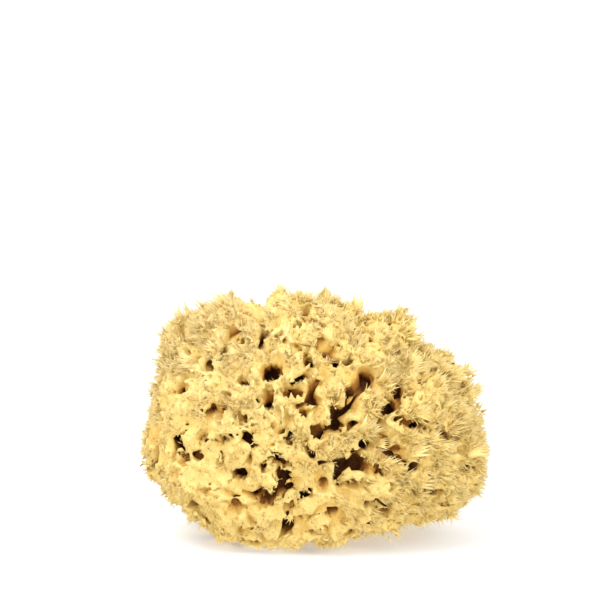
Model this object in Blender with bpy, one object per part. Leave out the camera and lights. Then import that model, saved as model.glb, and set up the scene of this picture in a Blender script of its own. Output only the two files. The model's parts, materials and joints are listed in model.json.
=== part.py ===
"""A natural bath sponge, dried: one lump that grew as one piece.

It stands on its flattened foot. +X is to the right, +Z is up and the side seen in the photograph faces -Y.
The lump is an icosphere drawn out to the sponge's outline. Round lobes, a relief of pointed conules and
open pores then follow its surface, and the foot is pressed flat where it rests.
Dimensions named here are in millimetres, and the mesh is in metres.
"""

import math

import bmesh
import bpy
import numpy as np

MM = 0.001
SIDEWAYS = 0.9  # an axis with more of +X or -X than this takes its oval's width along Y
FAR_SHARE = 9.0  # stands for any place well outside an oval

# Outer form
HEART = (-3.4, -1.7, 56.0)  # the point that every reach is measured from
REACH_STEP = 15  # degrees between the outline's reaches
# Reach of the outline from the heart, seen from the front: the first is towards +X, and they turn up and round
FRONT_REACH = (74, 67, 57, 58, 47, 51, 56, 64, 65, 68, 71, 67, 69, 73, 72, 70, 68, 64, 62, 64, 67, 72, 82, 80)
# A cleft over the crown parts it into two lobes: its place and width in degrees, as seen from the front
CLEFT_ANGLE = 113
CLEFT_WIDTH = 6.0
CLEFT_LENGTH = 0.5  # how far it runs to the front and back, as a share of a direction's length
CLEFT_DEPTH = 17.0
FRONT_DEPTH = 48.0
BACK_DEPTH = 52.0
FULLNESS = 2.25  # 2 is an ellipse across the depth, and more is squarer

# A place on the side that the photograph shows is right of the middle and above the foot, and what lies there
# is wide, high, turned in degrees anticlockwise, and deep
SEEN_FROM = 10.0  # degrees above the horizon
SEEN_FOOT = -30.0  # depth of the foot's front edge, which the heights are counted from

# Lobes: broad swellings, and smaller ones parted by creases
BROAD_LOBE = 1.4
BROAD_LENGTH = 62.0
SMALL_LOBE = 2.0
SMALL_LENGTH = 40.0
SMALL_WAVES = 20
CREASE_LEVEL = 0.7  # how far the creases between the small lobes lie below them, as a share of a lobe

# The front of the foot's right half is tucked up off the ground: right, above, wide, high, turned and deep
TUCK = (14, -2, 92.0, 62.0, 6, 21.0)

# Conules: the pointed tips that the skin is drawn up to, like tent poles
CONULES = 620
CONULE_SPREAD = 1.0  # how far chance moves them out of their even places
CONULE_HEIGHT = 4.4
CONULE_LOWEST = 0.55  # share of that height
CONULE_FLANK = 1.9
CONULE_BARE = 1.0  # none rises from the wall of a pore deeper than this

# Pores on the side that the photograph shows
FRONT_PORES = (
    (-19, 80, 8.0, 7.5, 0, 14),
    (-3, 85, 4.2, 5.0, 0, 10),
    (9, 56, 7.0, 5.0, 0, 13),
    (2, 53, 6.0, 6.5, 0, 7),
    (-11, 50, 3.4, 5.6, 20, 11),
    (-4, 62, 5.4, 3.0, -15, 10),
    (34, 64, 7.0, 8.5, -30, 12),
    (28, 57, 3.4, 6.4, -15, 10),
    (38, 57, 9.5, 3.4, -10, 9),
    (22, 47, 6.5, 4.6, 0, 12),
    (20, 38, 8.0, 8.0, 0, 14),
    (-15, 41, 11.0, 3.6, -20, 11),
    (-14, 34, 5.4, 6.8, 25, 13),
    (-15, 28, 4.4, 7.4, 30, 12),
    (-11, 20, 4.0, 4.8, 0, 9),
    (-3, 26, 5.2, 3.4, 0, 10),
    (4, 29, 3.8, 4.0, 0, 9),
    (26, 22, 5.2, 4.4, 0, 10),
    (31, 20, 4.4, 4.0, 0, 9),
    (54, 25, 7.2, 3.4, -25, 8),
    (31, 29, 4.0, 3.6, 0, 8),
    (60, 45, 4.8, 3.2, 10, 7),
    (-55, 41, 5.0, 5.4, 0, 9),
    (-57, 48, 3.8, 9.5, -10, 6),
    (-33, 34, 6.8, 5.4, 0, 8),
    (8, 18, 6.2, 4.6, 0, 8),
    (19, 73, 5.4, 3.4, -30, 9),
    (15, 70, 5.2, 4.0, 30, 10),
    (9, 91, 5.0, 3.4, 20, 6),
    (37, 91, 3.6, 3.6, 0, 7),
    (-41, 106, 4.0, 4.0, 0, 7),
    (-33, 95, 4.6, 3.6, 0, 6),
    (-48, 83, 4.2, 5.4, 20, 6),
    (-32, 76, 5.4, 3.2, -25, 7),
    (-56, 72, 6.2, 5.2, 0, 6),
    (-20, 68, 5.4, 9.5, 0, 6),
    (-10, 71, 9.2, 4.6, 0, 8),
    (0, 67, 5.8, 4.4, -25, 8),
    (47, 72, 4.6, 3.2, 15, 6),
    (-31, 59, 4.4, 5.0, 0, 7),
    (-29, 50, 3.6, 5.4, 30, 8),
    (-40, 64, 4.8, 4.8, 0, 6),
    (45, 55, 6.2, 3.2, 0, 7),
    (36, 45, 5.4, 3.6, 0, 8),
    (43, 38, 5.8, 3.4, 20, 8),
    (30, 36, 8.0, 3.8, 5, 6),
    (-34, 20, 5.4, 6.2, 0, 7),
    (-21, 21, 8.2, 4.6, 25, 8),
    (-48, 13, 6.8, 3.8, -30, 7),
    (20, 30, 5.4, 3.4, 30, 8),
)

# Pores on the sides that the photograph doesn't show
HIDDEN_PORES = 150
HIDDEN_FROM = -0.28  # how far forward they begin, as a share of a direction's length
HIDDEN_SPREAD = 1.6
HIDDEN_WIDE = (3.8, 9.0)
HIDDEN_ROUND = (0.6, 1.0)  # height as a share of width
HIDDEN_DEEP = (6.0, 12.0)
PORE_LIP = 0.35  # share of a pore's half width over which its rim turns in
PORE_WARP = 0.22  # how far chance bends a pore's oval, as a share of it
PORE_WARP_LENGTH = 7.0

GROUND = 300.0
WAVES = 16
SEEN_STEPS = 12  # tries at where a line of sight meets the skin
RIM = 0.995  # share of the outline's reach that counts as its edge
SKIN_SUBDIVISIONS = 7
SOLID_TRIANGLES = 9400
SEED = 29

SKIN_COLOUR = (0.84, 0.63, 0.28, 1.0)


def clear_scene():
    for obj in list(bpy.data.objects):
        bpy.data.objects.remove(obj)


def plane_waves(points, length, count, seed):
    """Smooth noise of about unit size: a sum of waves of that length that run in seeded directions."""
    rng = np.random.default_rng(seed)
    total = np.zeros(len(points))
    for _ in range(count):
        along = rng.normal(size=3)
        along *= 2 * math.pi / (length * np.linalg.norm(along))
        total += np.sin(points @ along + rng.uniform(0, 2 * math.pi))
    return total / math.sqrt(count / 2)


def even_directions(count, jitter, seed):
    """Directions spread evenly over a sphere on a golden spiral, each moved a little by chance."""
    rng = np.random.default_rng(seed)
    step = np.arange(count) + 0.5
    height = 1 - 2 * step / count
    turn = step * math.pi * (3 - math.sqrt(5))
    level = np.sqrt(1 - height**2)
    spread = np.column_stack((level * np.cos(turn), level * np.sin(turn), height))
    spread += rng.normal(scale=jitter / math.sqrt(count), size=spread.shape)
    return spread / np.linalg.norm(spread, axis=1, keepdims=True)


def front_reach(angle):
    """Reach of the outline at an angle from +X, smooth through the listed reaches."""
    reaches = np.array(FRONT_REACH, float)
    place = np.degrees(angle) % 360 / REACH_STEP
    index = np.floor(place).astype(int)
    share = place - index
    before, start, end, after = (reaches[(index + k) % len(reaches)] for k in (-1, 0, 1, 2))
    rise = (end - before) / 2
    fall = (after - start) / 2
    curve = 2 * start - 2 * end + rise + fall
    bend = 3 * end - 3 * start - 2 * rise - fall
    return ((curve * share + bend) * share + rise) * share + start


def lump_reach(directions):
    """How far the lump reaches from the heart, without lobes, along unit directions."""
    across, back, up = directions.T
    angle = np.arctan2(up, across)
    depth = np.where(back < 0, FRONT_DEPTH, BACK_DEPTH)
    flat = np.hypot(across, up) / front_reach(angle)
    reach = (flat**FULLNESS + np.abs(back / depth) ** FULLNESS) ** (-1 / FULLNESS)
    from_cleft = (np.degrees(angle) - CLEFT_ANGLE + 180) % 360 - 180
    return reach - CLEFT_DEPTH * np.exp(-((from_cleft / CLEFT_WIDTH) ** 2) - (back / CLEFT_LENGTH) ** 2)


def lobed_reach(directions):
    """The lump's reach with its lobes."""
    smooth = lump_reach(directions)
    points = directions * smooth[:, None]
    broad = BROAD_LOBE * plane_waves(points, BROAD_LENGTH, WAVES, SEED)
    creases = np.abs(plane_waves(points, SMALL_LENGTH, SMALL_WAVES, SEED + 1)) - CREASE_LEVEL
    return smooth + broad + SMALL_LOBE * np.clip(creases, -1, 1)


def conule_rise(directions, reach):
    """A cusp at each conule: steep beside the tip and hollow between tips."""
    tips = even_directions(CONULES, CONULE_SPREAD, SEED + 2)
    rng = np.random.default_rng(SEED + 3)
    heights = CONULE_HEIGHT * rng.uniform(CONULE_LOWEST, 1.0, CONULES)
    tips = tips * skin_reach(tips)[:, None]
    points = directions * reach[:, None]
    rise = np.zeros(len(points))
    for tip, height in zip(tips, heights):
        away = np.linalg.norm(points - tip, axis=1)
        rise = np.maximum(rise, height * np.exp(-away / CONULE_FLANK))
    return rise


def seen_direction(right, above):
    """Direction from the heart to the surface point that the photograph shows at that place."""
    lift = math.radians(SEEN_FROM)
    across = right - HEART[0]
    back = 0.0
    for _ in range(SEEN_STEPS):
        behind_foot = back + HEART[1] - SEEN_FOOT
        up = (above - behind_foot * math.sin(lift)) / math.cos(lift) - HEART[2]
        flat = math.hypot(across, up) / float(front_reach(math.atan2(up, across)))
        hollow = 1 - min(flat, RIM) ** FULLNESS
        back = -FRONT_DEPTH * hollow ** (1 / FULLNESS)
    place = np.array((across, back, up))
    return place / np.linalg.norm(place)


def oval_share(points, axis, reach, wide, high, turn):
    """Distance from an axis through the skin, as a share of an oval's half width there."""
    level = np.array((0.0, 1.0, 0.0) if abs(axis[0]) > SIDEWAYS else (1.0, 0.0, 0.0))
    side = level - axis * (level @ axis)
    side /= np.linalg.norm(side)
    top = np.cross(axis, side)
    turned = math.radians(turn)
    along = side * math.cos(turned) + top * math.sin(turned)
    over = top * math.cos(turned) - side * math.sin(turned)
    away = points - axis * reach
    share = np.hypot(away @ along / (wide / 2), away @ over / (high / 2))
    return np.where(np.abs(away @ axis) < wide + high, share, FAR_SHARE)


def smooth_step(share):
    share = np.clip(share, 0, 1)
    return share * share * (3 - 2 * share)


def skin_reach(directions):
    """The lobed reach with the foot's front tucked up."""
    right, above, wide, high, turn, deep = TUCK
    reach = lobed_reach(directions)
    axis = seen_direction(right, above)
    share = oval_share(directions * reach[:, None], axis, lobed_reach(axis[None, :])[0], wide, high, turn)
    return reach - deep * smooth_step(1 - share)


def pores():
    """Every pore as its direction from the heart, width, height, turn and depth."""
    found = [(seen_direction(right, above), *rest) for right, above, *rest in FRONT_PORES]
    rng = np.random.default_rng(SEED + 4)
    for direction in even_directions(HIDDEN_PORES, HIDDEN_SPREAD, SEED + 5):
        wide = rng.uniform(*HIDDEN_WIDE)
        high = wide * rng.uniform(*HIDDEN_ROUND)
        turn = rng.uniform(0, 180)
        deep = rng.uniform(*HIDDEN_DEEP)
        if direction[1] > HIDDEN_FROM:
            found.append((direction, wide, high, turn, deep))
    return found


def pore_drop(directions, reach):
    """How far each point lies below the skin, inside a pore."""
    points = directions * reach[:, None]
    drop = np.zeros(len(points))
    warp = 1 + PORE_WARP * plane_waves(points, PORE_WARP_LENGTH, WAVES, SEED + 6)
    for axis, wide, high, turn, deep in pores():
        mouth = skin_reach(axis[None, :])[0]
        share = oval_share(points, axis, mouth, wide, high, turn) * warp
        drop = np.maximum(drop, deep * smooth_step((1 + PORE_LIP - share) / (2 * PORE_LIP)))
    return drop


def make_sponge():
    bpy.ops.mesh.primitive_ico_sphere_add(subdivisions=SKIN_SUBDIVISIONS, radius=1.0)
    sponge = bpy.context.object
    sponge.name = "sponge"
    sponge.data.name = "sponge"
    flat = np.empty(len(sponge.data.vertices) * 3)
    sponge.data.vertices.foreach_get("co", flat)
    directions = flat.reshape(-1, 3)
    directions /= np.linalg.norm(directions, axis=1, keepdims=True)
    skin = skin_reach(directions)
    drop = pore_drop(directions, skin)
    rise = conule_rise(directions, skin) * (drop < CONULE_BARE)
    points = directions * (skin + rise - drop)[:, None] + HEART
    sponge.data.vertices.foreach_set("co", (points * MM).ravel())
    thin = sponge.modifiers.new("thin", "DECIMATE")
    thin.ratio = SOLID_TRIANGLES / len(sponge.data.polygons)
    return sponge


def make_ground():
    """The block that presses the foot flat: its top face is the surface that the sponge stands on."""
    bpy.ops.mesh.primitive_cube_add(size=GROUND * MM, location=(0, 0, -GROUND * MM / 2))
    ground = bpy.context.object
    ground.name = "ground_cutter"
    ground.display_type = "WIRE"
    ground.hide_render = True
    return ground


def press_flat(sponge, ground):
    press = sponge.modifiers.new("press_flat", "BOOLEAN")
    press.operation = "DIFFERENCE"
    press.object = ground


def sit_at_origin(sponge):
    """Applies the modifiers and moves the mesh so that its box is centred over the origin and stands on it."""
    graph = bpy.context.evaluated_depsgraph_get()
    mesh = bpy.data.meshes.new_from_object(sponge.evaluated_get(graph))
    sponge.modifiers.clear()
    sponge.data = mesh
    corners = np.array([vertex.co for vertex in mesh.vertices])
    low, high = corners.min(axis=0), corners.max(axis=0)
    middle = (low + high) / 2
    body = bmesh.new()
    body.from_mesh(mesh)
    bmesh.ops.translate(body, verts=body.verts, vec=(-middle[0], -middle[1], -low[2]))
    body.to_mesh(mesh)
    body.free()


def colour(sponge):
    skin = bpy.data.materials.new("dried_sponge")
    skin.use_nodes = True
    surface = skin.node_tree.nodes["Principled BSDF"]
    surface.inputs["Base Color"].default_value = SKIN_COLOUR
    surface.inputs["Roughness"].default_value = 0.95
    surface.inputs["Metallic"].default_value = 0.0
    sponge.data.materials.clear()
    sponge.data.materials.append(skin)


def put_in_collection(obj, name):
    home = bpy.data.collections.new(name)
    bpy.context.scene.collection.children.link(home)
    for collection in list(obj.users_collection):
        collection.objects.unlink(obj)
    home.objects.link(obj)


def main():
    clear_scene()
    sponge = make_sponge()
    ground = make_ground()
    press_flat(sponge, ground)
    sit_at_origin(sponge)
    colour(sponge)
    put_in_collection(sponge, "bath_sponge")
    put_in_collection(ground, "cutters")


main()
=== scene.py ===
"""The looks of a dried bath sponge: its pored skin, the tufts of fibre on it and the light it stands in.

Lengths are in millimetres until a mesh is made, which is in metres. The side seen in the photograph faces -Y.
"""

import json
import math

import bmesh
import bpy
import numpy as np
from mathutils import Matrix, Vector, kdtree

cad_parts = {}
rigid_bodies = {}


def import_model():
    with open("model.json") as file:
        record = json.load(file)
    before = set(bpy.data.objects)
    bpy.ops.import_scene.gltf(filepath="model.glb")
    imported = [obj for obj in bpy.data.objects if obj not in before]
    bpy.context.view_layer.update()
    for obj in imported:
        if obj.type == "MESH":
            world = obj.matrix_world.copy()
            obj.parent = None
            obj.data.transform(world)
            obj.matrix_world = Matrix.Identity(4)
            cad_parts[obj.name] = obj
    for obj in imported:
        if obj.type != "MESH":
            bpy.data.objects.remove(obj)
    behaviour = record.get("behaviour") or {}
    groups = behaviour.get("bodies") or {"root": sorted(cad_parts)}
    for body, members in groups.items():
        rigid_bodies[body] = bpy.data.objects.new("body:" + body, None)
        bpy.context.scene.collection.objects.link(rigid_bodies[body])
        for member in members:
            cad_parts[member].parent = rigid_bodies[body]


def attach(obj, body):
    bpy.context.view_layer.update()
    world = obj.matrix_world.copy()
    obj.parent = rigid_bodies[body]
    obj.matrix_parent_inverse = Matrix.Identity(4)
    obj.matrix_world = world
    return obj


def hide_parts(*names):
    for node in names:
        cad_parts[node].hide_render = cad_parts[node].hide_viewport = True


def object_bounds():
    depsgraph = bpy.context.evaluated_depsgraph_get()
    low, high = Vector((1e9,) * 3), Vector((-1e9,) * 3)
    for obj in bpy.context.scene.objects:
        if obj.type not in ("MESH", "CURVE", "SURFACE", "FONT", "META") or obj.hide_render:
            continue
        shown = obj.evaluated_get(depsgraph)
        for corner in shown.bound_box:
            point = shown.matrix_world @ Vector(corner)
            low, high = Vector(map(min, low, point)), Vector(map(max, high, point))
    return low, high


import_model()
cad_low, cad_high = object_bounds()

MM = 0.001
SEED = 29

# Outer form, as in the part
HEART = np.array((-3.4, -1.7, 56.0))  # reaches are measured from here
REACH_STEP = 15  # degrees between the reaches of the seen outline, from +X anticlockwise
FRONT_REACH = (74, 67, 57, 58, 47, 51, 56, 64, 65, 68, 71, 67, 69, 73, 72, 70, 68, 64, 62, 64, 67, 72, 82, 80)
CLEFT_ANGLE = 113
CLEFT_WIDTH = 6.0  # degrees
CLEFT_LENGTH = 0.5  # how far it runs over the crown, as a share of the reach
CLEFT_DEPTH = 17.0
FRONT_DEPTH = 48.0
BACK_DEPTH = 52.0
FULLNESS = 2.25  # an even oval has 2, and a boxier form has more
SEEN_FROM = 10.0  # degrees that the camera looks down
SEEN_FOOT = -30.0  # heights in the photograph are measured above the ground at this y
SEEN_STEPS = 12
RIM = 0.995
SIDEWAYS = 0.9  # an axis that runs more along x than this has its oval laid out from y
WAVES = 16
BROAD_LOBE = 1.4
BROAD_LENGTH = 62.0
SMALL_LOBE = 2.0
SMALL_LENGTH = 40.0
SMALL_WAVES = 20
CREASE_LEVEL = 0.7
TUCK = (14, -2, 92.0, 62.0, 6, 21.0)  # the foot's tucked-up front: right, above, wide, high, turn and depth

# The skin is found on a grid of points
GRID_STEP = 0.62
GRID_MARGIN = 3.0
GROUND_STEPS = 2  # grid steps below the surface that the sponge stands on
BAND_OUT = 6.0  # the skin is looked for this far outside the plain form
BAND_IN = 17.0
FAR = 9.0  # stands for any distance past the band
SLAB = 12  # planes of the grid that are worked out at a time
SKIN_TRIANGLES = 196000
THINNED_FROM = 1.5  # the mesh gets coarser between these depths
THINNED_TO = 6.0
THINNED_LEAST = 0.02  # how readily the outermost skin is thinned, where the deepest is 1
THINNED_SHARE = 0.05

# The skin sinks into round hollows between sharp crests, and a ragged fin stands on each crest
HOLLOW_DEEP = 1.0
HOLLOW_LENGTH = 13.0
CREST_LEVEL = 0.6
FIN_RISE = 2.6
FIN_SHARP = 0.24
FIN_TOOTH = 0.8
FIN_LENGTH = 3.0
FIN_USUAL = 0.4  # the fin's height between its teeth and gaps, and its most, as shares of its rise
FIN_MOST = 1.2
FELT_RISE = 0.42
FELT_LENGTH = 6.0
ROUGH_RISE = 0.16
ROUGH_LENGTH = 2.4
WAVES_FINE = 26

# Rolled folds run along the outline low on the left
FOLD_RISE = 1.5
FOLD_LENGTH = 6.6
FOLD_PHASE = 0.35
FOLD_ANGLE = 226
FOLD_SPREAD = 24
FOLD_FROM = 34.0
FOLD_FADE = 10.0
FOLD_WARP = 0.16
FOLD_WARP_LENGTH = 24.0
FOLD_FRONT = 0.7  # the folds end behind the middle, over the distance below
FOLD_BACK_FADE = 25.0

# Winding channels open all over the skin, wide ones and fine ones. For each kind: length of the winding,
# radius, how much it swells, over what length, and how deep the channels run
CHANNELS = ((14.0, 1.0, 0.75, 17.0, 12.0), (6.4, 0.12, 0.42, 11.0, 5.0))

# Pores that the photograph shows. A place is right of the middle and above the foot, and what lies there is
# wide, high, turned in degrees anticlockwise, and deep
FRONT_PORES = (
    (-19, 80, 8.0, 7.5, 0, 14),
    (-3, 85, 4.2, 5.0, 0, 10),
    (9, 56, 7.0, 5.0, 0, 13),
    (2, 53, 6.0, 6.5, 0, 7),
    (-11, 50, 3.4, 5.6, 20, 11),
    (-4, 62, 5.4, 3.0, -15, 10),
    (34, 64, 7.0, 8.5, -30, 12),
    (28, 57, 3.4, 6.4, -15, 10),
    (38, 57, 9.5, 3.4, -10, 9),
    (22, 47, 6.5, 4.6, 0, 12),
    (20, 38, 8.0, 8.0, 0, 14),
    (-15, 41, 11.0, 3.6, -20, 11),
    (-14, 34, 5.4, 6.8, 25, 13),
    (-15, 28, 4.4, 7.4, 30, 12),
    (-11, 20, 4.0, 4.8, 0, 9),
    (-3, 26, 5.2, 3.4, 0, 10),
    (4, 29, 3.8, 4.0, 0, 9),
    (26, 22, 5.2, 4.4, 0, 10),
    (31, 20, 4.4, 4.0, 0, 9),
    (54, 25, 7.2, 3.4, -25, 8),
    (31, 29, 4.0, 3.6, 0, 8),
    (60, 45, 4.8, 3.2, 10, 7),
    (-55, 41, 5.0, 5.4, 0, 9),
    (-57, 48, 3.8, 9.5, -10, 6),
    (-33, 34, 6.8, 5.4, 0, 8),
    (8, 18, 6.2, 4.6, 0, 8),
    (19, 73, 5.4, 3.4, -30, 9),
    (15, 70, 5.2, 4.0, 30, 10),
    (9, 91, 5.0, 3.4, 20, 6),
    (37, 91, 3.6, 3.6, 0, 7),
    (-41, 106, 4.0, 4.0, 0, 7),
    (-33, 95, 4.6, 3.6, 0, 6),
    (-48, 83, 4.2, 5.4, 20, 6),
    (-32, 76, 5.4, 3.2, -25, 7),
    (-56, 72, 6.2, 5.2, 0, 6),
    (-20, 68, 5.4, 9.5, 0, 6),
    (-10, 71, 9.2, 4.6, 0, 8),
    (0, 67, 5.8, 4.4, -25, 8),
    (47, 72, 4.6, 3.2, 15, 6),
    (-31, 59, 4.4, 5.0, 0, 7),
    (-29, 50, 3.6, 5.4, 30, 8),
    (-40, 64, 4.8, 4.8, 0, 6),
    (45, 55, 6.2, 3.2, 0, 7),
    (36, 45, 5.4, 3.6, 0, 8),
    (43, 38, 5.8, 3.4, 20, 8),
    (30, 36, 8.0, 3.8, 5, 6),
    (-34, 20, 5.4, 6.2, 0, 7),
    (-21, 21, 8.2, 4.6, 25, 8),
    (-48, 13, 6.8, 3.8, -30, 7),
    (20, 30, 5.4, 3.4, 30, 8),
    (65, 46.5, 1.8, 4.0, 0, 6),
    (21, 94, 2.6, 2.2, 0, 6),
    (-6, 100, 2.6, 4.0, 25, 6),
    (-37, 96, 2.2, 3.0, 0, 6),
    (-14, 96, 2.6, 3.0, 0, 6),
    (-57, 89, 4.0, 2.0, -35, 5),
    (-8, 92, 2.0, 3.5, 0, 6),
    (-30, 86, 2.6, 2.6, 0, 6),
    (-38, 70, 2.6, 2.6, 0, 7),
    (1, 73.5, 3.8, 2.4, 35, 7),
    (9.6, 79.6, 2.2, 2.2, 0, 7),
    (22, 80, 3.0, 2.2, -40, 6),
    (36, 81, 2.2, 2.2, 0, 6),
    (36, 70, 4.0, 2.6, -25, 7),
    (60, 68, 3.0, 2.2, 0, 5),
    (14, 62, 3.5, 3.0, 0, 6),
    (-35, 51, 2.8, 2.0, 0, 7),
    (-40, 49, 2.0, 4.6, 15, 7),
    (-59, 59, 2.4, 2.0, 0, 5),
    (54, 53, 3.8, 2.2, 0, 6),
    (38, 40, 3.5, 2.4, 0, 7),
    (-22, 27, 2.8, 2.2, 0, 7),
    (18, 43.5, 4.5, 3.0, 10, 10),
    (-33, 11, 4.0, 3.5, 0, 6),
    (-21, 7, 9.5, 2.8, -5, 8),
    (-22, 3, 8.0, 2.2, 0, 5),
    (16, 9, 4.0, 3.0, 0, 6),
    (0, 10, 4.0, 3.0, 0, 6),
    (-22, 38, 2.6, 4.6, 0, 7),
    (-5, 16, 2.2, 2.2, 0, 5),
    (-45, 29, 5.0, 3.0, 0, 3.5),
)
HIDDEN_PORES = 190
HIDDEN_FROM = -0.28
HIDDEN_SPREAD = 1.6
HIDDEN_WIDE = (2.6, 8.5)
HIDDEN_ROUND = (0.5, 1.0)
HIDDEN_DEEP = (6.0, 13.0)
PORE_FLARE = 0.25  # how much wider a pore's mouth is than its throat, as a share of it
PORE_BEND = 0.35  # how far its end strays sideways, as a share of its depth
PORE_RAGGED = 0.45  # how far its wall is uneven
PORE_ROOM = 3.0  # space round a pore that its walls may stray into

# Conules are what the skin is drawn up to, broad lobes and then pointed tips. For each kind: how many, the
# lowest and highest rise, and the thinnest and thickest flank
CONULES = ((460, 1.2, 3.4, 1.6, 2.6), (3000, 0.8, 2.2, 0.5, 1.1))
CONULE_SPREAD = 1.3
CONULE_LEAN = 0.35
CONULE_GAP = 2.2  # a tip that lies further from the skin is left out
CONULE_RANGE = 4.0  # the skin is drawn up this many flanks round a tip
CONULE_LOWEST = 3.0  # no tip stands nearer to the ground

# Pointed corners of the lower left edge: right, above, rise and flank
CORNERS = ((-61, 14, 6.5, 2.6), (-53, 7.5, 6.0, 2.4), (-41, 4.5, 5.0, 2.2))

# Tufts of fibre stand on the skin. Their length varies over it, and the skin lies deeper under long ones
TUFT_SHORT = 2.2
TUFT_LONG = 4.4
TUFT_INSET = 0.6  # how much deeper, as a share of their length
# Sides where tufts are long: right, above, spread in degrees, and how long
LONG_SIDES = ((56, 60, 58, 1.0), (-40, 108, 42, 1.0), (-66, 66, 26, 0.35), (0, 112, 40, 0.8))
HIDDEN_LONG = 0.5  # how long tufts are on the hidden sides, by chance a little more or less
HIDDEN_VARY = 0.35
HIDDEN_EDGE = 0.3
CLEFT_SHORT = 0.7  # tufts are shorter by this share in the crown's cleft
CLEFT_MORE = 7.0  # and it is this much deeper than in the part
NICK = (-62, 13, 12)  # where the lower left edge draws in beside a corner
NICK_DEPTH = 7.0
LEAN_SIDE = (44, 50, 54)
LEAN_WAY = np.array((0.9, 0, 0.3))
LEAN_UP = np.array((0, 0, 0.15))
LEAN_CHANCE = 0.25
BACK_LENGTH = 70.0  # tufts' length and lean change by chance over about this distance
CLUMP_LENGTH = 8.0  # tufts stand in clumps of long ones about this far apart, with short ones between
CLUMP_SHARP = 0.7
CLUMP_LOW = 0.5
CLUMP_HIGH = 1.45
SUNK_LENGTH = 0.35  # how long tufts are in hollows, as a share
TUFT_MOST = 1.6  # the longest tuft reaches this many times the length that the skin gives it
TUFT_SWAY = 0.4
TUFT_SPIN = 0.5
TUFT_SIZES = (0.55, 1.25)
TUFT_PACKING = 1.2  # tufts tried for on each square of the gap between two
TUFT_PICKS = 99  # a number up to this, over again past the last kind, picks a tuft's kind
LAY_STEEP = 0.5  # how much tufts follow the skin's own slope
LAY_ROOM = 0.5  # tufts keep this far above the ground
COMB_LENGTH = 14.0  # neighbouring tufts face alike over about this distance
BOX_FREE = 0.4  # points this far outside the part's box stay where they are
BOX_ROOM = np.array((1.8, 2.4, 2.8))  # past that, the most that they may stand out along each axis
SECTORS = 5

# Where tufts grow. Each pair is a value where growth starts or ends, and the span over which it does
OUTWARD = (-0.1, 0.5)
SHALLOW = (1.3, 1.8)
OFF_GROUND = (1.5, 2.0)
LONG_SHALLOW = (0.8, 2.4)
FELT_OUTWARD = (-0.3, 0.5)
FELT_SHALLOW = (4.5, 3.0)
FELT_THIN = 0.42  # how thickly wisps grow away from the fluffy side
FRILLS_LONG = (2.9, 0.8)  # frills grow only where tufts are long
FLUFF_SIDE = (-38, 104, 42)  # the side where the tufts are finest, whose colour is painted paler as painted light
FLUFF_PAINTED_LIGHT = 1.8
FLUFF_FINE = 0.7  # spikes are rarer there by this share
PAINTED_LIGHT_LEAST = -1.2  # raised tips are painted paler as painted light; tips that are drawn up further are no paler
PORE_RIM = 1.8  # tufts are short this near to a pore's mouth
RIM_EDGE = (1.15, 0.35)
RIM_SHORT = 0.6
RIM_THIN = 0.5

# Kinds of tufts, about one unit long
GROWTHS = (("frills", 2.8, 1.3, 5), ("spikes", 1.8, 1.12, 6), ("wisps", 1.5, 1.3, 7))  # gap, length, seed
FRILL_KINDS = 6
FRILL_FINGERS = (4, 8)
FRILL_ROWS = ((-0.2, 0.26, 0.18), (0.06, 0.29, 0.14), (0.30, 0.33, 0.10))  # rise, half width, thickness
FRILL_CUP = 0.9
FRILL_BEND = 0.25
FRILL_VALLEY = (-0.12, 0.08)
FRILL_WEB = 0.45  # how thick the web between fingers is, as a share of theirs
FINGER_SPREAD = 1.5
FINGER_STRAY = 0.06
FINGER_BEND = 0.08
FINGER_TIPS = (0.6, 1.1)
SPIKE_KINDS = 6
SPIKES_IN_TUFT = (4, 7)
SPIKE_RINGS = ((-0.14, 1.0), (0.3, 0.42))  # height and share of the root's width
SPIKE_SIDES = 4
SPIKE_WIDE = 0.24
SPIKE_SLIM = 0.4  # the width that even the shortest spike has, as a share
SPIKE_LENGTHS = (0.5, 1.0)
SPIKE_LEAN = 0.38
SPIKE_FOOT = 0.55  # how far apart the roots stand, as a share of the lean
SPIKE_CURL = 0.12
WISP_KINDS = 5
WISPS_IN_TUFT = (10, 14)
WISP_RINGS = ((-0.1, 1.0),)
WISP_SIDES = 3
WISP_WIDE = 0.055
WISP_LENGTHS = (0.4, 1.0)
WISP_LEAN = 0.36
WISP_FOOT = 0.3
WISP_CURL = 0.16

# Colours, and the levels between which each takes over from the one before. A level is about a depth in
# millimetres, less at tips, and noises of three lengths, in metres, make it uneven. Light and shade are
# painted
# into the colours: paler on tips and crests as painted light, golden to dark brown in hollows and pores as
# painted shade
CREAM = (0.95, 0.805, 0.42, 1)
STRAW = (0.92, 0.765, 0.33, 1)
GOLD = (0.79, 0.56, 0.17, 1)
BROWN = (0.36, 0.16, 0.035, 1)
# painted shade deep in the pores
PORE_SHADE_BROWN = (0.06, 0.02, 0.008, 1)
PATCHES = 0.011
MOTTLE = 0.0022
MOTTLE_TWIST = 0.6
GRAIN = 0.0005
# tufts are painted paler towards their tips and more golden at their roots: painted light and shade among the
# fibres
TIP_PAINTED_LIGHT = 2.2
MOTTLE_LEVEL = 2.4
PATCHES_LEVEL = 2.0
DEEP_MOTTLE = 2.0
STRAW_LEVELS = (-3.4, -1.0)
GOLD_LEVELS = (-0.6, 2.2)
# brown and then dark brown take over deeper down: painted shade in hollows and pores
BROWN_SHADE_LEVELS = (2.0, 4.6)
PORE_SHADE_LEVELS = (4.2, 7.2)
# Fine brown specks stand for the shade in tiny pinholes: painted shade
PINHOLE_SHADE_LEVELS = (0.62, 0.44)
PINHOLE_SHADE_SHARE = 0.25
BUMP_MOTTLE = 0.6
BUMP_GRAIN = 0.5
BUMP_STRENGTH = 0.7
BUMP_HEIGHT = 0.0005
FIBRE_ROUGHNESS = 0.9
FIBRE_SHINE = 0.2

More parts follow.
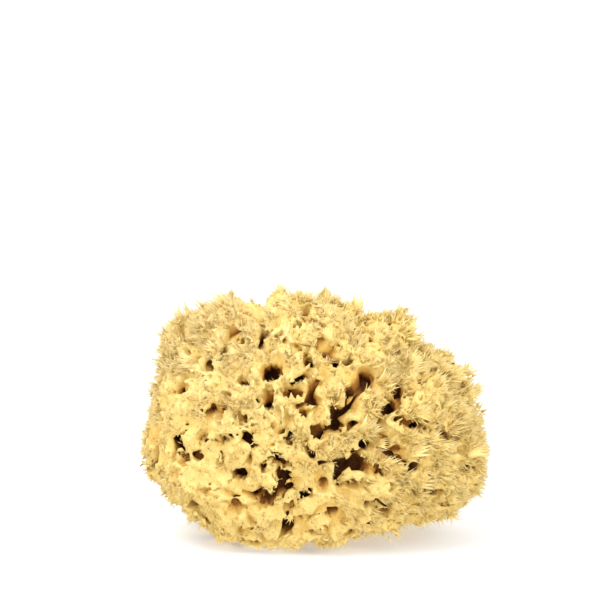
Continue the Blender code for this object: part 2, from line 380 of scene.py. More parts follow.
# The stage, in metres
FLOOR_SIZE = 14.0
PAPER = (0.86, 0.93, 1.0, 1)
PAPER_GLOW = (0.2, 0.4, 1.0, 1)
PAPER_GLOW_STRENGTH = 0.25
PAPER_ROUGHNESS = 0.9
ROOM_LIGHT = (1.0, 0.895, 0.7, 1)
ROOM_STRENGTH = 1.27
# Name, power, size and place
LAMPS = (("left_lamp", 5.7, 0.6, (-0.5, -0.45, 0.95)), ("right_lamp", 3.2, 0.6, (0.6, -0.7, 0.5)))
LAMP_AIM = (0, 0, 0.05)
LENS = 180
SENSOR = 36
CAMERA_AIM = Vector((-0.0057, 0.0, 0.1056))
CAMERA_AWAY = 1.305


def unit(vectors):
    return vectors / np.linalg.norm(vectors, axis=-1, keepdims=True)


def smooth_step(share):
    share = np.clip(share, 0, 1)
    return share * share * (3 - 2 * share)


def past(value, edge, span):
    """0 where a value is below an edge, rising to 1 over a span above it."""
    return smooth_step((value - edge) / span)


def short_of(value, edge, span):
    """0 where a value is above an edge, rising to 1 over a span below it."""
    return smooth_step((edge - value) / span)


def plane_waves(points, length, count, seed):
    """Smooth noise of about unit size: a sum of waves of that length that run in seeded directions."""
    rng = np.random.default_rng(seed)
    total = np.zeros(len(points), np.float32)
    points = points.astype(np.float32)
    for _ in range(count):
        along = rng.normal(size=3)
        along *= 2 * math.pi / (length * np.linalg.norm(along))
        start = rng.uniform(0, 2 * math.pi)
        total += np.sin(points @ along.astype(np.float32) + np.float32(start))
    return total / math.sqrt(count / 2)


def even_directions(count, jitter, seed):
    """Directions spread evenly over a sphere on a golden spiral, each moved a little by chance."""
    rng = np.random.default_rng(seed)
    step = np.arange(count) + 0.5
    height = 1 - 2 * step / count
    turn = step * math.pi * (3 - math.sqrt(5))
    level = np.sqrt(1 - height**2)
    spread = np.column_stack((level * np.cos(turn), level * np.sin(turn), height))
    spread += rng.normal(scale=jitter / math.sqrt(count), size=spread.shape)
    return unit(spread)


def front_reach(angle):
    """Reach of the outline at an angle from +X, smooth through the listed reaches."""
    reaches = np.array(FRONT_REACH, float)
    place = np.degrees(angle) % 360 / REACH_STEP
    index = np.floor(place).astype(int)
    share = place - index
    before, start, end, after = (reaches[(index + k) % len(reaches)] for k in (-1, 0, 1, 2))
    rise = (end - before) / 2
    fall = (after - start) / 2
    curve = 2 * start - 2 * end + rise + fall
    bend = 3 * end - 3 * start - 2 * rise - fall
    return ((curve * share + bend) * share + rise) * share + start


def cleft_share(directions):
    """How deep in the crown's cleft directions run, from 0 beside it to 1 in its middle."""
    across, back, up = directions.T
    from_cleft = (np.degrees(np.arctan2(up, across)) - CLEFT_ANGLE + 180) % 360 - 180
    return np.exp(-((from_cleft / CLEFT_WIDTH) ** 2) - (back / CLEFT_LENGTH) ** 2)


def lump_reach(directions):
    """How far the lump reaches from the heart, without lobes, along unit directions."""
    across, back, up = directions.T
    angle = np.arctan2(up, across)
    depth = np.where(back < 0, FRONT_DEPTH, BACK_DEPTH)
    flat = np.hypot(across, up) / front_reach(angle)
    reach = (flat**FULLNESS + np.abs(back / depth) ** FULLNESS) ** (-1 / FULLNESS)
    return reach - CLEFT_DEPTH * cleft_share(directions)


def lobed_reach(directions):
    """The lump's reach with its lobes."""
    smooth = lump_reach(directions)
    points = directions * smooth[:, None]
    broad = BROAD_LOBE * plane_waves(points, BROAD_LENGTH, WAVES, SEED)
    creases = np.abs(plane_waves(points, SMALL_LENGTH, SMALL_WAVES, SEED + 1)) - CREASE_LEVEL
    return smooth + broad + SMALL_LOBE * np.clip(creases, -1, 1)


def seen_direction(right, above):
    """Direction from the heart to the surface point that the photograph shows at that place."""
    lift = math.radians(SEEN_FROM)
    across = right - HEART[0]
    back = 0.0
    for _ in range(SEEN_STEPS):
        behind_foot = back + HEART[1] - SEEN_FOOT
        up = (above - behind_foot * math.sin(lift)) / math.cos(lift) - HEART[2]
        flat = math.hypot(across, up) / float(front_reach(math.atan2(up, across)))
        hollow = 1 - min(flat, RIM) ** FULLNESS
        back = -FRONT_DEPTH * hollow ** (1 / FULLNESS)
    place = np.array((across, back, up))
    return place / np.linalg.norm(place)


def oval_axes(axis, turn):
    """The two directions across an axis that an oval's width and height lie along."""
    level = np.array((0.0, 1.0, 0.0) if abs(axis[0]) > SIDEWAYS else (1.0, 0.0, 0.0))
    side = unit(level - axis * (level @ axis))
    top = np.cross(axis, side)
    turned = math.radians(turn)
    return side * math.cos(turned) + top * math.sin(turned), top * math.cos(turned) - side * math.sin(turned)


def skin_reach(directions):
    """The lobed reach with the foot's front tucked up."""
    right, above, wide, high, turn, deep = TUCK
    reach = lobed_reach(directions)
    axis = seen_direction(right, above)
    along, over = oval_axes(axis, turn)
    away = directions * reach[:, None] - axis * lobed_reach(axis[None, :])[0]
    share = np.hypot(away @ along / (wide / 2), away @ over / (high / 2))
    share = np.where(np.abs(away @ axis) < wide + high, share, FAR)
    return reach - deep * smooth_step(1 - share)


def pores():
    """Every pore as its direction from the heart, width, height, turn and depth."""
    found = [(seen_direction(right, above), *rest) for right, above, *rest in FRONT_PORES]
    rng = np.random.default_rng(SEED + 4)
    for direction in even_directions(HIDDEN_PORES, HIDDEN_SPREAD, SEED + 5):
        wide = rng.uniform(*HIDDEN_WIDE)
        high = wide * rng.uniform(*HIDDEN_ROUND)
        turn = rng.uniform(0, 180)
        deep = rng.uniform(*HIDDEN_DEEP)
        if direction[1] > HIDDEN_FROM:
            found.append((direction, wide, high, turn, deep))
    return found


def side_share(directions, right, above, spread):
    """How near directions are to a side: 1 at its middle, falling off over a spread in degrees."""
    turn = np.degrees(np.arccos(np.clip(directions @ seen_direction(right, above), -1, 1)))
    return np.exp(-((turn / spread) ** 2))


def tuft_length(directions):
    """How long tufts grow along directions from the heart, in millimetres."""
    share = HIDDEN_LONG + HIDDEN_VARY * plane_waves(directions * BACK_LENGTH, BACK_LENGTH, WAVES, SEED + 30)
    share = share * smooth_step(directions[:, 1] + HIDDEN_EDGE)
    for right, above, spread, much in LONG_SIDES:
        share = np.maximum(share, much * side_share(directions, right, above, spread))
    in_cleft = smooth_step(2 * cleft_share(directions))
    return (TUFT_SHORT + (TUFT_LONG - TUFT_SHORT) * np.clip(share, 0, 1)) * (1 - CLEFT_SHORT * in_cleft)


def tuft_lean(directions):
    """How tufts lean sideways: to the right and up on the right side, and by chance elsewhere."""
    sway = [plane_waves(directions * BACK_LENGTH, BACK_LENGTH, WAVES, SEED + 31 + k) for k in range(3)]
    to_right = side_share(directions, *LEAN_SIDE)[:, None] * LEAN_WAY
    return LEAN_CHANCE * np.column_stack(sway) + to_right + LEAN_UP


def rooted_reach(directions):
    """The reach of the skin that the tufts stand on."""
    reach = skin_reach(directions) - TUFT_INSET * tuft_length(directions)
    reach = reach - CLEFT_MORE * cleft_share(directions)
    return reach - NICK_DEPTH * side_share(directions, *NICK)


def grid_lines():
    """The coordinates of the grid's planes along each axis, one of them on the ground."""
    lines = []
    for low, high in zip(cad_low[:2], cad_high[:2]):
        lines.append(np.arange(low / MM - GRID_MARGIN, high / MM + GRID_MARGIN, GRID_STEP))
    lines.append(np.arange(-GROUND_STEPS * GRID_STEP, cad_high[2] / MM + GRID_MARGIN, GRID_STEP))
    return lines


def carve_pores(field, rough, lines):
    """Takes every pore out of the field, each a bent tunnel that narrows inwards."""
    rng = np.random.default_rng(SEED + 6)
    for axis, wide, high, turn, deep in pores():
        stray = rng.normal(size=2) * PORE_BEND
        mouth = HEART + axis * rooted_reach(axis[None, :])[0]
        along, over = oval_axes(axis, turn)
        middle = mouth - axis * deep / 2
        around = deep / 2 + wide + PORE_ROOM
        box = tuple(slice(*np.searchsorted(line, (place - around, place + around)))
                    for line, place in zip(lines, middle))
        if min(part.stop - part.start for part in box) < 1:
            continue
        inside = (line[part] for line, part in zip(lines, box))
        away = np.stack(np.meshgrid(*inside, indexing="ij"), axis=-1) - mouth
        down = -(away @ axis)
        share_down = np.clip(down / deep, 0, 1)
        bend = deep * share_down**2
        narrow = 1 + PORE_FLARE * (1 - 2 * share_down)
        across = (away @ along - stray[0] * bend) / (wide / 2 * narrow)
        upward = (away @ over - stray[1] * bend) / (high / 2 * narrow)
        wall = (np.hypot(across, upward) - 1) * min(wide, high) / 2 + PORE_RAGGED * rough[box]
        wall = np.maximum(wall, down - deep)
        wall = np.maximum(wall, -down - wide)
        field[box] = np.minimum(field[box], wall)


def folds(points):
    """Rolls that run along the outline low on the left of the side seen in the photograph."""
    across, back, up = (points - HEART).T
    radius = np.hypot(across, up)
    warp = FOLD_WARP * plane_waves(points, FOLD_WARP_LENGTH, WAVES, SEED + 16)
    phase = radius / FOLD_LENGTH + FOLD_PHASE + warp
    from_middle = (np.degrees(np.arctan2(up, across)) - FOLD_ANGLE + 180) % 360 - 180
    share = np.exp(-((from_middle / FOLD_SPREAD) ** 2)) * past(radius, FOLD_FROM, FOLD_FADE)
    share = share * smooth_step(FOLD_FRONT - back / FOLD_BACK_FADE)
    return FOLD_RISE * share * (2 * np.abs(np.sin(math.pi * phase)) - 1)


def open_field(grid):
    """How far inside the sponge each point of a grid lies before pores are carved, and its fine noise."""
    away = grid - HEART
    distance = np.linalg.norm(away, axis=-1)
    directions = away / np.maximum(distance, 1e-6)[..., None]
    depth = lump_reach(directions.reshape(-1, 3)).reshape(distance.shape) - distance
    band = (depth > -BAND_OUT) & (depth < BAND_IN)
    points = grid[band]
    skin = rooted_reach(directions[band]) - distance[band]
    from_crest = np.abs(plane_waves(points, HOLLOW_LENGTH, WAVES_FINE, SEED + 10))
    grown = tuft_length(directions[band]) / TUFT_SHORT
    hollow = HOLLOW_DEEP * grown * np.minimum(CREST_LEVEL - from_crest, CREST_LEVEL)
    felt = FELT_RISE * plane_waves(points, FELT_LENGTH, WAVES_FINE, SEED + 11)
    rough = np.zeros(depth.shape, np.float32)
    rough[band] = plane_waves(points, ROUGH_LENGTH, WAVES_FINE, SEED + 12)
    tooth = FIN_USUAL + FIN_TOOTH * plane_waves(points, FIN_LENGTH, WAVES_FINE, SEED + 17)
    fin = FIN_RISE * np.exp(-from_crest / FIN_SHARP) * np.clip(tooth, 0, FIN_MOST)
    body = skin + hollow + felt + fin + folds(points) + ROUGH_RISE * rough[band]
    for number, (length, radius, swell, swell_length, deep) in enumerate(CHANNELS):
        seed = SEED + 50 + 3 * number
        first = plane_waves(points, length, WAVES_FINE, seed)
        second = plane_waves(points, length, WAVES_FINE, seed + 1)
        wide = radius * np.sqrt(grown) + swell * plane_waves(points, swell_length, WAVES, seed + 2)
        channel = np.hypot(first, second) * length / (2 * math.pi) - wide
        body = np.minimum(body, np.maximum(channel, skin - deep))
    field = np.where(depth > 0, FAR, -FAR)
    field[band] = body
    return field, rough


def sponge_field(lines):
    """How far inside the sponge each point of the grid lies: below zero outside it and in its pores."""
    field = np.empty([len(line) for line in lines], np.float32)
    rough = np.empty_like(field)
    for start in range(0, len(lines[0]), SLAB):
        slab = slice(start, start + SLAB)
        grid = np.stack(np.meshgrid(lines[0][slab], *lines[1:], indexing="ij"), axis=-1)
        field[slab], rough[slab] = open_field(grid)
    carve_pores(field, rough, lines)
    return np.minimum(field, lines[2])


def surface_net(field, lines):
    """Points and four-sided faces around where the field is above zero, a point in each crossed cell."""
    cells = []
    places = []
    for axis in range(3):
        lower = [slice(None)] * 3
        upper = [slice(None)] * 3
        lower[axis] = slice(None, -1)
        upper[axis] = slice(1, None)
        start, end = field[tuple(lower)], field[tuple(upper)]
        edges = np.argwhere((start > 0) != (end > 0))
        start, end = start[tuple(edges.T)], end[tuple(edges.T)]
        place = edges.astype(float)
        place[:, axis] += start / (start - end)
        around = np.repeat(edges[:, None, :], 4, axis=1)
        around[:, (1, 2), (axis + 1) % 3] -= 1
        around[:, (2, 3), (axis + 2) % 3] -= 1
        around[start <= 0] = around[start <= 0][:, ::-1]
        cells.append(around)
        places.append(np.repeat(place[:, None, :], 4, axis=1))
    cells = np.concatenate(cells)
    places = np.concatenate(places).reshape(-1, 3)
    keys = np.ravel_multi_index(tuple(cells.reshape(-1, 3).T), field.shape)
    used, index = np.unique(keys, return_inverse=True)
    counts = np.bincount(index)
    middle = np.column_stack([np.bincount(index, places[:, k]) / counts for k in range(3)])
    corner = np.array([line[0] for line in lines])
    return corner + middle * GRID_STEP, index.reshape(-1, 4)


def largest_piece(points, faces):
    """Only the biggest connected piece of a mesh."""
    label = np.arange(len(points))
    while True:
        least = label[faces].min(axis=1)
        lower = label.copy()
        for corner in range(4):
            np.minimum.at(lower, faces[:, corner], least)
        lower = lower[lower]
        if (lower == label).all():
            break
        label = lower
    kept = label == np.bincount(label).argmax()
    number = np.cumsum(kept) - 1
    return points[kept], number[faces[kept[faces[:, 0]]]]


def kept_in(points):
    """Points in millimetres, drawn in where they lie too far outside the part's box or under the ground."""
    kept = points
    for corner, way in ((cad_low, -1), (cad_high, 1)):
        outside = way * (kept - np.array(corner) / MM)
        over = np.maximum(outside - BOX_FREE, 0)
        kept = kept + way * (BOX_ROOM * (1 - np.exp(-over / BOX_ROOM)) - over)
    kept[:, 2] = np.maximum(kept[:, 2], 0)
    return kept


def raise_conules(points):
    """Draws the skin up to lobes and pointed tips, nowhere below the ground."""
    tree = kdtree.KDTree(len(points))
    for index, point in enumerate(points):
        tree.insert(point, index)
    tree.balance()
    raised = points.copy()
    for number, (count, low, high, thin, thick) in enumerate(CONULES):
        rng = np.random.default_rng(SEED + 20 + number)
        tips = even_directions(count, CONULE_SPREAD, SEED + 24 + number)
        tips_at = HEART + tips * rooted_reach(tips)[:, None]
        grown = np.sqrt(tuft_length(tips) / TUFT_SHORT)
        heights = rng.uniform(low, high, count) * grown
        flanks = rng.uniform(thin, thick, count) * grown
        ways = tips + rng.normal(scale=CONULE_LEAN, size=(count, 3)) + tuft_lean(tips)
        if number == 0:
            corners = np.array([seen_direction(right, above) for right, above, _, _ in CORNERS])
            tips_at = np.vstack((tips_at, HEART + corners * rooted_reach(corners)[:, None]))
            heights = np.append(heights, [height for _, _, height, _ in CORNERS])
            flanks = np.append(flanks, [flank for _, _, _, flank in CORNERS])
            ways = np.vstack((ways, corners))
        rise = np.zeros(len(points))
        way = np.zeros_like(points)
        for at, height, flank, along in zip(tips_at, heights, flanks, ways):
            top, _, gap = tree.find(at)
            if gap > CONULE_GAP or top.z < CONULE_LOWEST:
                continue
            for _, index, away in tree.find_range(top, flank * CONULE_RANGE):
                lift = height * math.exp(-away / flank)
                if lift > rise[index]:
                    rise[index] = lift
                    way[index] = along
        raised += way * rise[:, None]
    return kept_in(raised)


def new_mesh_object(name, points, faces):
    mesh = bpy.data.meshes.new(name)
    mesh.from_pydata(points.tolist(), [], faces.tolist())
    obj = bpy.data.objects.new(name, mesh)
    bpy.context.scene.collection.objects.link(obj)
    return obj


def settled_mesh(obj):
    """The object's mesh with its modifiers applied, as a plain mesh."""
    graph = bpy.context.evaluated_depsgraph_get()
    mesh = bpy.data.meshes.new_from_object(obj.evaluated_get(graph))
    obj.modifiers.clear()
    obj.data = mesh
    return mesh


def mesh_points(mesh):
    flat = np.empty(len(mesh.vertices) * 3)
    mesh.vertices.foreach_get("co", flat)
    return flat.reshape(-1, 3)


def near_pores(away):
    """How near points, given from the heart, lie to a pore's mouth: 1 inside it and 0 past its rim."""
    near = np.zeros(len(away))
    for axis, wide, high, turn, _ in pores():
        mouth = axis * rooted_reach(axis[None, :])[0]
        around = np.flatnonzero(np.linalg.norm(away - mouth, axis=1) < wide + high)
        off = away[around] - mouth
        along, over = oval_axes(axis, turn)
        share = np.hypot(off @ along / (wide / 2 + PORE_RIM), off @ over / (high / 2 + PORE_RIM))
        near[around] = np.maximum(near[around], short_of(share, *RIM_EDGE))
    return near


def make_skin():
    """The sponge's skin with its pores and conules, thinned most where it lies deep."""
    lines = grid_lines()
    points, faces = largest_piece(*surface_net(sponge_field(lines), lines))
    points = raise_conules(points)
    skin = new_mesh_object("sponge_skin", points * MM, faces)
    away = points - HEART
    depth = rooted_reach(unit(away)) - np.linalg.norm(away, axis=1)
    inner = skin.vertex_groups.new(name="inner")
    share = np.round(past(depth, THINNED_FROM, THINNED_TO - THINNED_FROM), 1)
    share = np.maximum(share, THINNED_LEAST)
    for level in np.unique(share):
        inner.add(np.flatnonzero(share == level).tolist(), float(level), "REPLACE")
    thin = skin.modifiers.new("thin", "DECIMATE")
    thin.ratio = min(1.0, SKIN_TRIANGLES / (2 * len(faces)))
    thin.vertex_group = inner.name
    thin.vertex_group_factor = THINNED_SHARE
    mesh = settled_mesh(skin)
    mesh.name = "sponge_skin"
    mesh.shade_smooth()
    skin.vertex_groups.clear()
    return skin


def store(mesh, name, kind, values, domain="POINT"):
    """Writes values into a new attribute of a mesh."""
    mark = mesh.attributes.new(name, kind, domain)
    mark.data.foreach_set("vector" if kind == "FLOAT_VECTOR" else "value", values.ravel())


def mark_skin(skin):
    """Stores how deep each point lies, and how thickly, how long and which way tufts grow there."""
    mesh = skin.data
    away = mesh_points(mesh) / MM - HEART
    outward = unit(away)
    depth = rooted_reach(outward) - np.linalg.norm(away, axis=1)
    normals = np.empty(len(away) * 3)
    mesh.vertex_normals.foreach_get("vector", normals)
    normals = normals.reshape(-1, 3)
    facing = np.sum(normals * outward, axis=1)
    height = away[:, 2] + HEART[2]
    off_ground = past(height, *OFF_GROUND)
    shag = past(facing, *OUTWARD) * short_of(depth, *SHALLOW) * off_ground
    rim = near_pores(away)
    full = tuft_length(outward)
    clump = smooth_step(0.5 + CLUMP_SHARP * plane_waves(away, CLUMP_LENGTH, WAVES_FINE, SEED + 39))
    long = full * (1 - RIM_SHORT * rim) * (SUNK_LENGTH + (1 - SUNK_LENGTH) * short_of(depth, *LONG_SHALLOW))
    long = long * (CLUMP_LOW + (CLUMP_HIGH - CLUMP_LOW) * clump)
    shag = shag * (1 - RIM_THIN * rim)
    lay = unit(normals * LAY_STEEP + outward + tuft_lean(outward))
    lay[:, 2] = np.maximum(lay[:, 2], -np.maximum(height - LAY_ROOM, 0) / (TUFT_MOST * long))
    swirl = [plane_waves(away, COMB_LENGTH, WAVES, SEED + 35 + k) for k in range(3)]
    comb = unit(np.cross(lay, np.column_stack(swirl)))
    fluff = side_share(outward, *FLUFF_SIDE)
    felt = past(facing, *FELT_OUTWARD) * short_of(depth, *FELT_SHALLOW)
    felt = felt * off_ground * (FELT_THIN + (1 - FELT_THIN) * fluff)
    # the depth that the colour's painted shade follows, made shallower as painted light on raised tips and
    # the fluffy side
    store(mesh, "depth", "FLOAT", np.maximum(depth, PAINTED_LIGHT_LEAST) - FLUFF_PAINTED_LIGHT * fluff)
    store(mesh, "wisps", "FLOAT", felt)
    store(mesh, "spikes", "FLOAT", shag * (1 - FLUFF_FINE * fluff))
    store(mesh, "frills", "FLOAT", shag * past(full, *FRILLS_LONG) * (1 - rim))
    store(mesh, "long", "FLOAT", long)
    store(mesh, "lay", "FLOAT_VECTOR", lay)
    store(mesh, "comb", "FLOAT_VECTOR", comb)
    centres = np.empty(len(mesh.polygons) * 3)
    mesh.polygons.foreach_get("center", centres)
    centres = centres.reshape(-1, 3) / MM - HEART
    turn = np.arctan2(centres[:, 1], centres[:, 0]) / (2 * math.pi) + 0.5
    store(mesh, "sector", "INT", np.minimum((turn * SECTORS).astype(int), SECTORS - 1), "FACE")


class Value:
    """A node's output that Python's operators work on."""

    def __init__(self, graph, socket):
        self.graph = graph
        self.socket = socket

    def math(self, operation, *others):
        node = self.graph.add("ShaderNodeMath", {"operation": operation}, dict(enumerate((self, *others))))
        return Value(self.graph, node.outputs[0])

    def __add__(self, other):
        return self.math("ADD", other)

    def __sub__(self, other):
        return self.math("SUBTRACT", other)

    def __mul__(self, other):
        return self.math("MULTIPLY", other)

    def __truediv__(self, other):
        return self.math("DIVIDE", other)

    def __rsub__(self, other):
        return self * -1.0 + other

    def __rtruediv__(self, other):
        return self.math("POWER", -1.0) * other

    __radd__ = __add__
    __rmul__ = __mul__


class Graph:
    """A node tree that is written from left to right."""

    def __init__(self, tree):
        self.tree = tree

    def add(self, kind, settings=None, inputs=None):
        node = self.tree.nodes.new(kind)
        for name, value in (settings or {}).items():
            setattr(node, name, value)
        for name, value in (inputs or {}).items():
            if isinstance(value, Value):
                self.tree.links.new(value.socket, node.inputs[name])
            else:
                node.inputs[name].default_value = value
        return node

    def value(self, kind, settings=None, inputs=None, output=0):
        return Value(self, self.add(kind, settings, inputs).outputs[output])


def join_rings(body, lower, upper):
    for k in range(len(lower)):
        after = (k + 1) % len(lower)
        body.faces.new((lower[k], lower[after], upper[after], upper[k]))


def add_strand(body, tip_layer, root, way, curl, length, wide, rings, sides):
    """One closed, tapered strand that curves as it rises."""
    side = unit(np.cross(way, (0.3, 0.5, 0.8)))
    other = np.cross(way, side)
    loops = []
    for rise, share in rings:
        middle = root + way * length * rise + curl * length * max(rise, 0) ** 2
        loop = []
        for turn in np.arange(sides) * 2 * math.pi / sides:
            around = side * math.cos(turn) + other * math.sin(turn)
            point = body.verts.new(middle + around * wide * share / 2)
            point[tip_layer] = max(rise, 0)
            loop.append(point)
        loops.append(loop)
    tip = body.verts.new(root + way * length + curl * length)
    tip[tip_layer] = 1.0
    body.faces.new(loops[0][::-1])
    for lower, upper in zip(loops, loops[1:]):
        join_rings(body, lower, upper)
    for k in range(sides):
        body.faces.new((loops[-1][k], loops[-1][(k + 1) % sides], tip))


def add_frill(body, tip_layer, rng):
    """A closed webbed sheet of about unit length along +Z, cupped, that ends in pointed fingers."""
    fingers = int(rng.integers(*FRILL_FINGERS))
    columns = 2 * fingers
    bend = rng.normal(scale=FRILL_BEND)
    valley = rng.uniform(*FRILL_VALLEY, fingers + 1)
    loops = []
    for rise, half, thick in FRILL_ROWS:
        front = []
        back = []
        for column in range(columns + 1):
            across = 2 * column / columns - 1
            ragged = valley[column // 2] if column % 2 == 0 and rise == FRILL_ROWS[-1][0] else 0.0
            at_end = column in (0, columns)
            fat = 0.0 if at_end else thick * (1.0 if column % 2 else FRILL_WEB)
            level = FRILL_CUP * half * across**2 * half + bend * max(rise, 0) ** 2
            for face, row in ((-1, front), (1, back)):
                if at_end and face > 0:
                    continue
                point = body.verts.new((across * half, level + face * fat / 2, rise + ragged))
                point[tip_layer] = max(rise, 0)
                row.append(point)
        loops.append((front, [front[0], *back, front[-1]]))
    outlines = [front + back[-2:0:-1] for front, back in loops]
    body.faces.new(outlines[0])
    for lower, upper in zip(outlines, outlines[1:]):
        join_rings(body, upper, lower)
    front, back = loops[-1]
    for finger in range(fingers):
        middle = (2 * finger + 1) / fingers - 1
        half = FRILL_ROWS[-1][1]
        level = FRILL_CUP * half**2 * middle**2 + bend + rng.normal(scale=FINGER_BEND)
        across = middle * half * FINGER_SPREAD + rng.normal(scale=FINGER_STRAY)
        tip = body.verts.new((across, level, rng.uniform(*FINGER_TIPS)))
        tip[tip_layer] = 1.0
        left = 2 * finger
        for row, step in ((front, 1), (back, -1)):
            for start in (left, left + 1):
                body.faces.new((row[start], row[start + 1], tip)[::step])
        if finger > 0:
            body.faces.new((back[left], front[left], tip))
        if finger < fingers - 1:
            body.faces.new((front[left + 2], back[left + 2], tip))


def tuft_kind(name, seed, fill):
    """A tuft of about unit length that stands on the origin."""
    body = bmesh.new()
    fill(body, body.verts.layers.float.new("tip"), np.random.default_rng(seed))
    bmesh.ops.recalc_face_normals(body, faces=body.faces)
    mesh = bpy.data.meshes.new(name)
    body.to_mesh(mesh)
    body.free()
    mesh.shade_smooth()
    return bpy.data.objects.new(name, mesh)


def add_spikes(body, tip_layer, rng):
    """A few stout pointed strands from one foot."""
    for _ in range(rng.integers(*SPIKES_IN_TUFT)):
        lean = rng.normal(scale=SPIKE_LEAN, size=2)
        root = np.array((*(lean * SPIKE_FOOT), 0.0))
        way = unit(np.array((*lean, 1.0)))
        curl = rng.normal(scale=SPIKE_CURL, size=3)
        length = rng.uniform(*SPIKE_LENGTHS)
        wide = SPIKE_WIDE * (SPIKE_SLIM + (1 - SPIKE_SLIM) * length)
        add_strand(body, tip_layer, root, way, curl, length, wide, SPIKE_RINGS, SPIKE_SIDES)


def add_wisps(body, tip_layer, rng):
    """Many hair-thin strands from one foot."""
    for _ in range(rng.integers(*WISPS_IN_TUFT)):
        lean = rng.normal(scale=WISP_LEAN, size=2)
        root = np.array((*(lean * WISP_FOOT), 0.0))
        way = unit(np.array((*lean, 1.0)))
        curl = rng.normal(scale=WISP_CURL, size=3)
        length = rng.uniform(*WISP_LENGTHS)
        add_strand(body, tip_layer, root, way, curl, length, WISP_WIDE, WISP_RINGS, WISP_SIDES)


def tuft_collection(name, kinds, fill):
    home = bpy.data.collections.new(name)
    for number in range(kinds):
        home.objects.link(tuft_kind(f"{name}_{number}", SEED + 40 + number, fill))
    return home


def tuft_tree(material):
    """A node tree that stands tufts of a collection on the skin of one sector."""
    tree = bpy.data.node_groups.new("grow_tufts", "GeometryNodeTree")
    for name, kind in (("Skin", "Geometry"), ("Tufts", "Collection"), ("Gap", "Float"), ("Length", "Float"),
                       ("Sector", "Int"), ("Seed", "Int"), ("Density", "Float")):
        tree.interface.new_socket(name, in_out="INPUT", socket_type="NodeSocket" + kind)
    tree.interface.new_socket("Tufts", in_out="OUTPUT", socket_type="NodeSocketGeometry")
    graph = Graph(tree)
    given = graph.add("NodeGroupInput")
    inputs = {socket.name: Value(graph, socket) for socket in given.outputs if socket.name}

    def named(name, kind, output=0):
        return graph.value("GeometryNodeInputNamedAttribute", {"data_type": kind}, {"Name": name}, output)

    def chance(low, high, offset):
        return graph.value("FunctionNodeRandomValue", {"data_type": "FLOAT"},
                           {2: low, 3: high, "Seed": inputs["Seed"] + offset}, 1)

    same_sector = graph.value("FunctionNodeCompare", {"data_type": "INT", "operation": "EQUAL"},
                              {2: named("sector", "INT"), 3: inputs["Sector"]})
    points = graph.value("GeometryNodeDistributePointsOnFaces", {"distribute_method": "POISSON"},
                         {"Mesh": inputs["Skin"], "Selection": same_sector, "Distance Min": inputs["Gap"],
                          "Density Max": TUFT_PACKING / (inputs["Gap"] * inputs["Gap"]),
                          "Density Factor": inputs["Density"], "Seed": inputs["Seed"]})
    lay = named("lay", "FLOAT_VECTOR")
    comb = named("comb", "FLOAT_VECTOR")
    sway = graph.value("FunctionNodeRandomValue", {"data_type": "FLOAT_VECTOR"},
                       {0: (-TUFT_SWAY,) * 3, 1: (TUFT_SWAY,) * 3, "Seed": inputs["Seed"] + 3})
    way = graph.value("ShaderNodeVectorMath", {"operation": "ADD"}, {0: lay, 1: sway})
    stood = graph.value("FunctionNodeAlignRotationToVector", {"axis": "Z"}, {"Vector": way})
    turned = graph.value("FunctionNodeAlignRotationToVector", {"axis": "X", "pivot_axis": "Z"},
                         {"Rotation": stood, "Vector": comb})
    spin = graph.value("FunctionNodeAxisAngleToRotation", None,
                       {"Axis": (0, 0, 1), "Angle": chance(-TUFT_SPIN, TUFT_SPIN, 1)})
    rotation = graph.value("FunctionNodeRotateRotation", {"rotation_space": "LOCAL"},
                           {"Rotation": turned, "Rotate By": spin})
    size = inputs["Length"] * named("long", "FLOAT") * chance(*TUFT_SIZES, 2)
    kinds = graph.value("GeometryNodeCollectionInfo", None,
                        {"Collection": inputs["Tufts"], "Separate Children": True, "Reset Children": True})
    pick = graph.value("FunctionNodeRandomValue", {"data_type": "INT"},
                       {4: 0, 5: TUFT_PICKS, "Seed": inputs["Seed"] + 4}, 2)
    tufts = graph.value("GeometryNodeInstanceOnPoints", None,
                        {"Points": points, "Instance": kinds, "Pick Instance": True, "Instance Index": pick,
                         "Rotation": rotation, "Scale": size})
    loose = graph.value("GeometryNodeRealizeInstances", None, {"Geometry": tufts})
    done = graph.value("GeometryNodeSetMaterial", None, {"Geometry": loose, "Material": material})
    graph.add("NodeGroupOutput", None, {"Tufts": done})
    return tree


def grow(name, skin, tree, density, settings):
    """A plain mesh of tufts that the tree grows on the skin, as thickly as an attribute says."""
    holder = bpy.data.objects.new(name, skin.data)
    bpy.context.scene.collection.objects.link(holder)
    growth = holder.modifiers.new("growth", "NODES")
    growth.node_group = tree
    for socket in tree.interface.items_tree:
        if socket.in_out == "INPUT" and socket.name in settings:
            growth[socket.identifier] = settings[socket.name]
        elif socket.in_out == "INPUT" and socket.name == "Density":
            growth[socket.identifier + "_use_attribute"] = True
            growth[socket.identifier + "_attribute_name"] = density
    mesh = settled_mesh(holder)
    mesh.name = name
    points = kept_in(mesh_points(mesh) / MM) * MM
    mesh.vertices.foreach_set("co", points.ravel())
    return holder


def make_tufts(skin, material):
    """Every kind of tuft on every sector of the skin, each as one piece."""
    kinds = {"frills": tuft_collection("frill_kinds", FRILL_KINDS, add_frill),
             "spikes": tuft_collection("spike_kinds", SPIKE_KINDS, add_spikes),
             "wisps": tuft_collection("wisp_kinds", WISP_KINDS, add_wisps)}
    tree = tuft_tree(material)
    grown = []
    for sector in range(SECTORS):
        for kind, gap, length, seed in GROWTHS:
            grown.append(grow(f"{kind}_{sector + 1}", skin, tree, kind,
                              {"Tufts": kinds[kind], "Gap": gap * MM, "Length": length * MM,
                               "Sector": sector, "Seed": seed}))
    for collection in kinds.values():
        for kind in list(collection.objects):
            bpy.data.objects.remove(kind)
        bpy.data.collections.remove(collection)
    return grown


